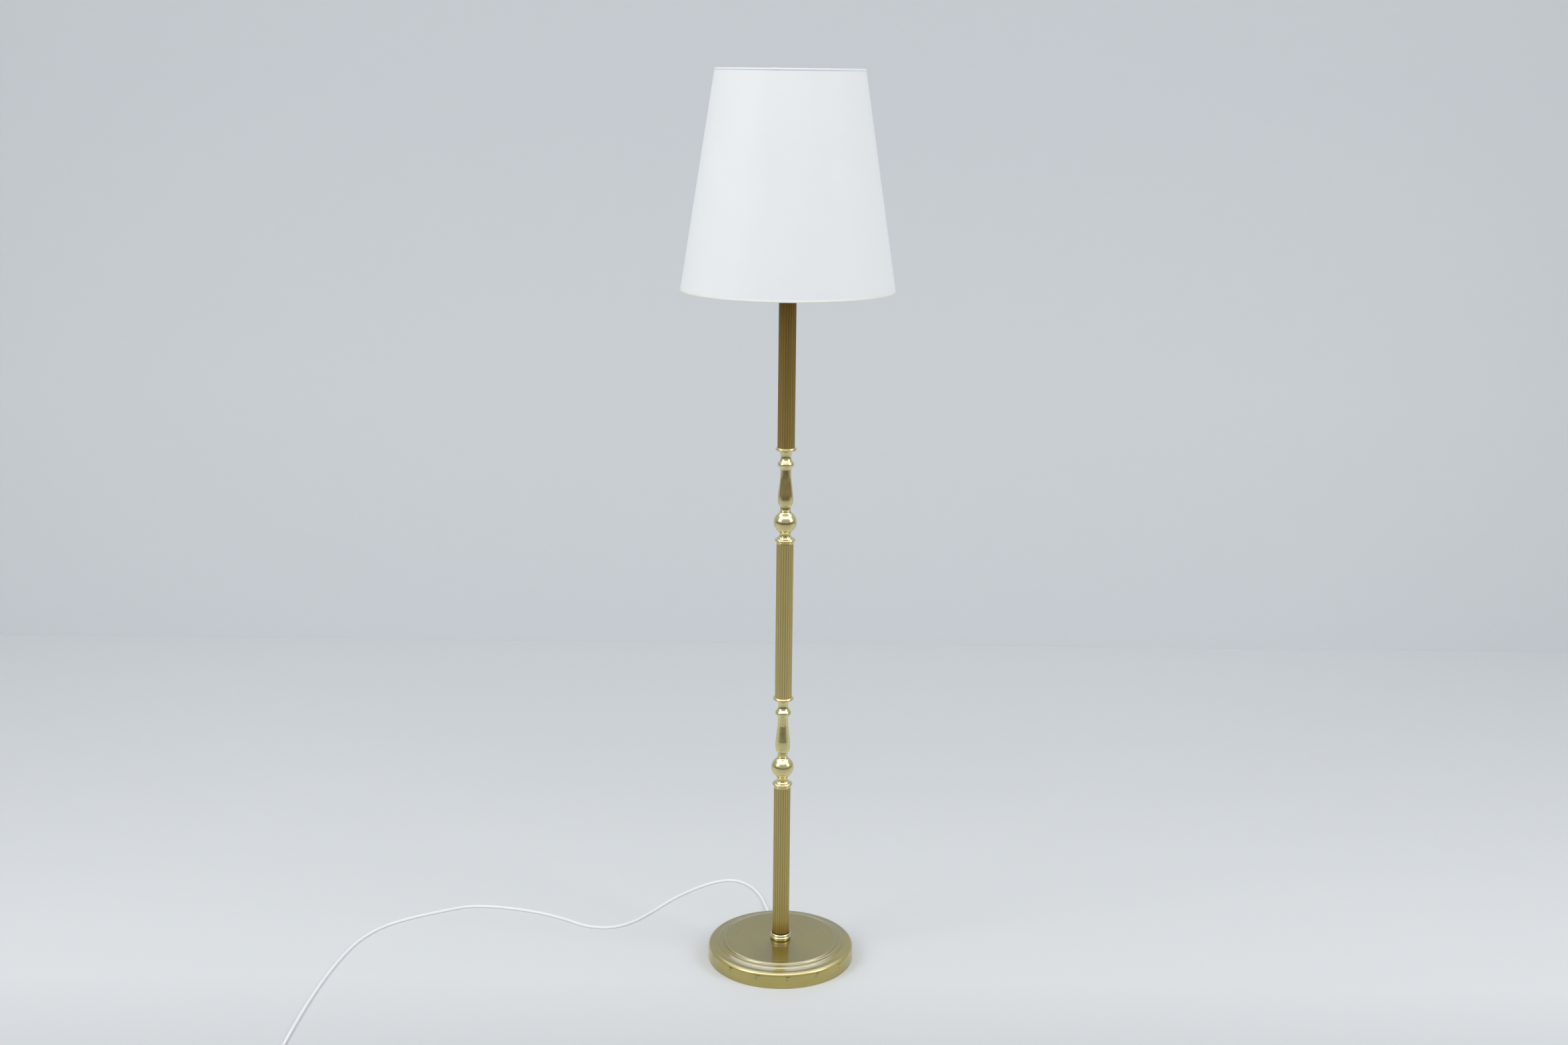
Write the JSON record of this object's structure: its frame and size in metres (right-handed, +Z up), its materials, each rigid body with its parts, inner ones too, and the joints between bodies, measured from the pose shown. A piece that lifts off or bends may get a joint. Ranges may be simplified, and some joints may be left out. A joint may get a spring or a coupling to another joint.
{
  "type": "floor lamp",
  "caption": "Floor lamp with a round stepped foot, a slim stem of fluted tubes and turned balusters, a plain cone shade and a mains cord with a flat plug.",
  "frame": {"origin": "middle of the foot on the floor, under the stem", "axes": "+Z up along the stem, -Y towards the viewer, and the cord leaves the foot close to +Y"},
  "size_m": [0.985, 0.7851, 1.529],
  "materials": {
    "brass_cover": "satin",
    "brass_tube": "satin",
    "brass_turned": "polished",
    "brass_fittings": "satin",
    "iron": "rough",
    "steel": "satin",
    "felt": "rough",
    "white_plastic": "matte",
    "cord_sheath": "matte",
    "core_insulation": "matte",
    "black_plastic": "glossy",
    "porcelain": "glazed",
    "contact_brass": "satin",
    "bulb_metal": "satin",
    "frosted_glass": "frosted",
    "white_wire": "satin",
    "shade_card": "matte"
  },
  "bodies": {
    "lamp": {"base_collar": "brass_turned", "base_cover": "brass_cover", "base_nut": "steel", "base_washer": "steel", "base_weight": "iron", "bulb_cap": "bulb_metal", "bulb_contact": "bulb_metal", "bulb_glass": "frosted_glass", "centre_contact": "contact_brass", "clamp_screws": "steel", "cord": "cord_sheath", "cord_clamp": "white_plastic", "cord_coil": "cord_sheath", "cord_relief": "white_plastic", "foot_pad": "felt", "holder_cap": "brass_fittings", "holder_insert": "porcelain", "holder_sleeve": "brass_fittings", "inner_lead": "cord_sheath", "lower_ball": "brass_turned", "lower_cap": "brass_turned", "lower_cup": "brass_turned", "lower_neck_ring": "brass_turned", "lower_ring_nut": "brass_fittings", "lower_tube": "brass_tube", "lower_vase": "brass_turned", "middle_tube": "brass_tube", "plug_body": "white_plastic", "plug_pins": "steel", "relief_ring": "white_plastic", "screw_shell": "contact_brass", "stem_cap": "brass_turned", "stem_nut": "steel", "switch_box": "black_plastic", "switch_bush": "brass_fittings", "terminal_screws": "contact_brass", "tie_rod": "steel", "upper_ball": "brass_turned", "upper_cap": "brass_turned", "upper_cup": "brass_turned", "upper_neck_ring": "brass_turned", "upper_ring_nut": "brass_fittings", "upper_tube": "brass_tube", "upper_vase": "brass_turned", "wire_cores": "core_insulation"},
    "shade": {"centre_ring": "white_wire", "shade_arms": "white_wire", "bottom_hoop": "white_wire", "top_hoop": "white_wire", "shade_skin": "shade_card"},
    "switch": {"switch_shaft": "brass_fittings", "switch_knob": "black_plastic"}
  },
  "joints": [
    {"name": "shade_turn", "type": "hinge", "parent": "lamp", "child": "shade", "pos_m": [0, 0, 1.2549], "axis": [0, 0, 1], "continuous": true},
    {"name": "switch_turn", "type": "hinge", "parent": "lamp", "child": "switch", "pos_m": [0.027, 0, 1.2209], "axis": [1, 0, 0], "continuous": true}
  ]
}
